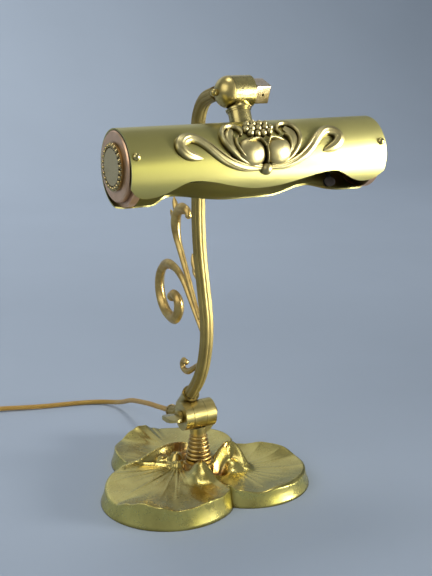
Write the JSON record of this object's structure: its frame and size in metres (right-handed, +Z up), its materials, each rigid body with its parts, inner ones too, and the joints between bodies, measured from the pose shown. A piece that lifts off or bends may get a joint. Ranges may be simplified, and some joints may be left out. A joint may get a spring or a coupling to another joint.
{
  "type": "desk lamp",
  "caption": "Brass desk lamp: a long tubular shade with scalloped edges on a scrolled, reeded arm that tilts on a base of cast water-lily leaves.",
  "frame": {"origin": "on the floor under the ringed stem, at the underside of the base", "axes": "+Z up, +X along the shade towards its right end seen from the front, -Y towards the front"},
  "size_m": [0.3751, 0.4816, 0.4014],
  "materials": {
    "gilt_brass": "satin, gilded and slightly rubbed",
    "shade_brass": "polished with fine brushing",
    "aged_brass": "dull, darkened in the hollows",
    "copper_cap": "satin, red-brown",
    "fixing_steel": "plain",
    "holder_brass": "bright",
    "holder_ceramic": "glazed",
    "bulb_glass": "clear",
    "key_plastic": "gloss black",
    "felt": "napped",
    "cord_cloth": "woven sleeve",
    "tie_cloth": "plain weave",
    "plug_plastic": "gloss brown",
    "plug_brass": "bright"
  },
  "bodies": {
    "base": {"base_casting": "gilt_brass", "base_felt": "felt", "stem_washer": "fixing_steel", "stem_nut": "fixing_steel", "stem_rod": "fixing_steel", "stem_post": "gilt_brass", "base_knuckle": "gilt_brass", "base_cap_nut": "aged_brass", "cord_lead": "cord_cloth", "cord_coil": "cord_cloth", "coil_tie": "tie_cloth", "plug_body": "plug_plastic", "plug_blades": "plug_brass"},
    "base_clamp": {"base_clamp_screw": "aged_brass"},
    "arm": {"arm_tube": "gilt_brass", "arm_foot": "gilt_brass", "arm_dome": "gilt_brass", "upper_bolt": "gilt_brass", "cord_bushing": "gilt_brass", "scroll_large": "gilt_brass", "scroll_upper": "gilt_brass", "scroll_small": "gilt_brass"},
    "upper_clamp": {"upper_clamp_nut": "aged_brass"},
    "shade": {"shade_shell": "shade_brass", "end_cap_left": "copper_cap", "end_cap_right": "copper_cap", "medallion_left": "aged_brass", "medallion_right": "aged_brass", "cap_screws": "shade_brass", "ornament": "aged_brass", "shade_knuckle": "shade_brass", "neck_collar": "shade_brass", "neck_nipple": "fixing_steel", "neck_locknut": "fixing_steel", "holder_cap": "holder_brass", "holder_shell": "holder_brass", "holder_insulator": "holder_ceramic", "bulb_cap": "holder_brass", "bulb_glass": "bulb_glass"},
    "key": {"switch_key": "key_plastic"}
  },
  "joints": [
    {"name": "arm_tilt", "type": "hinge", "parent": "base", "child": "arm", "pos_m": [0, 0, 0.072], "axis": [1, 0, 0], "range_deg": [-30, 30], "deforming": ["cord_lead"]},
    {"name": "shade_tilt", "type": "hinge", "parent": "arm", "child": "shade", "pos_m": [0, -0.07154, 0.38765], "axis": [1, 0, 0], "range_deg": [-70, 24]},
    {"name": "base_clamp_turn", "type": "hinge", "parent": "base", "child": "base_clamp", "pos_m": [-0.022, 0, 0.072], "axis": [-1, 0, 0], "range_deg": [0, 180]},
    {"name": "upper_clamp_turn", "type": "hinge", "parent": "arm", "child": "upper_clamp", "pos_m": [0.022, -0.07154, 0.38765], "axis": [1, 0, 0], "range_deg": [0, 180]},
    {"name": "switch_turn", "type": "hinge", "parent": "shade", "child": "key", "pos_m": [0.076, -0.0946, 0.3328], "axis": [0, -0.3875, -0.9219], "continuous": true}
  ]
}
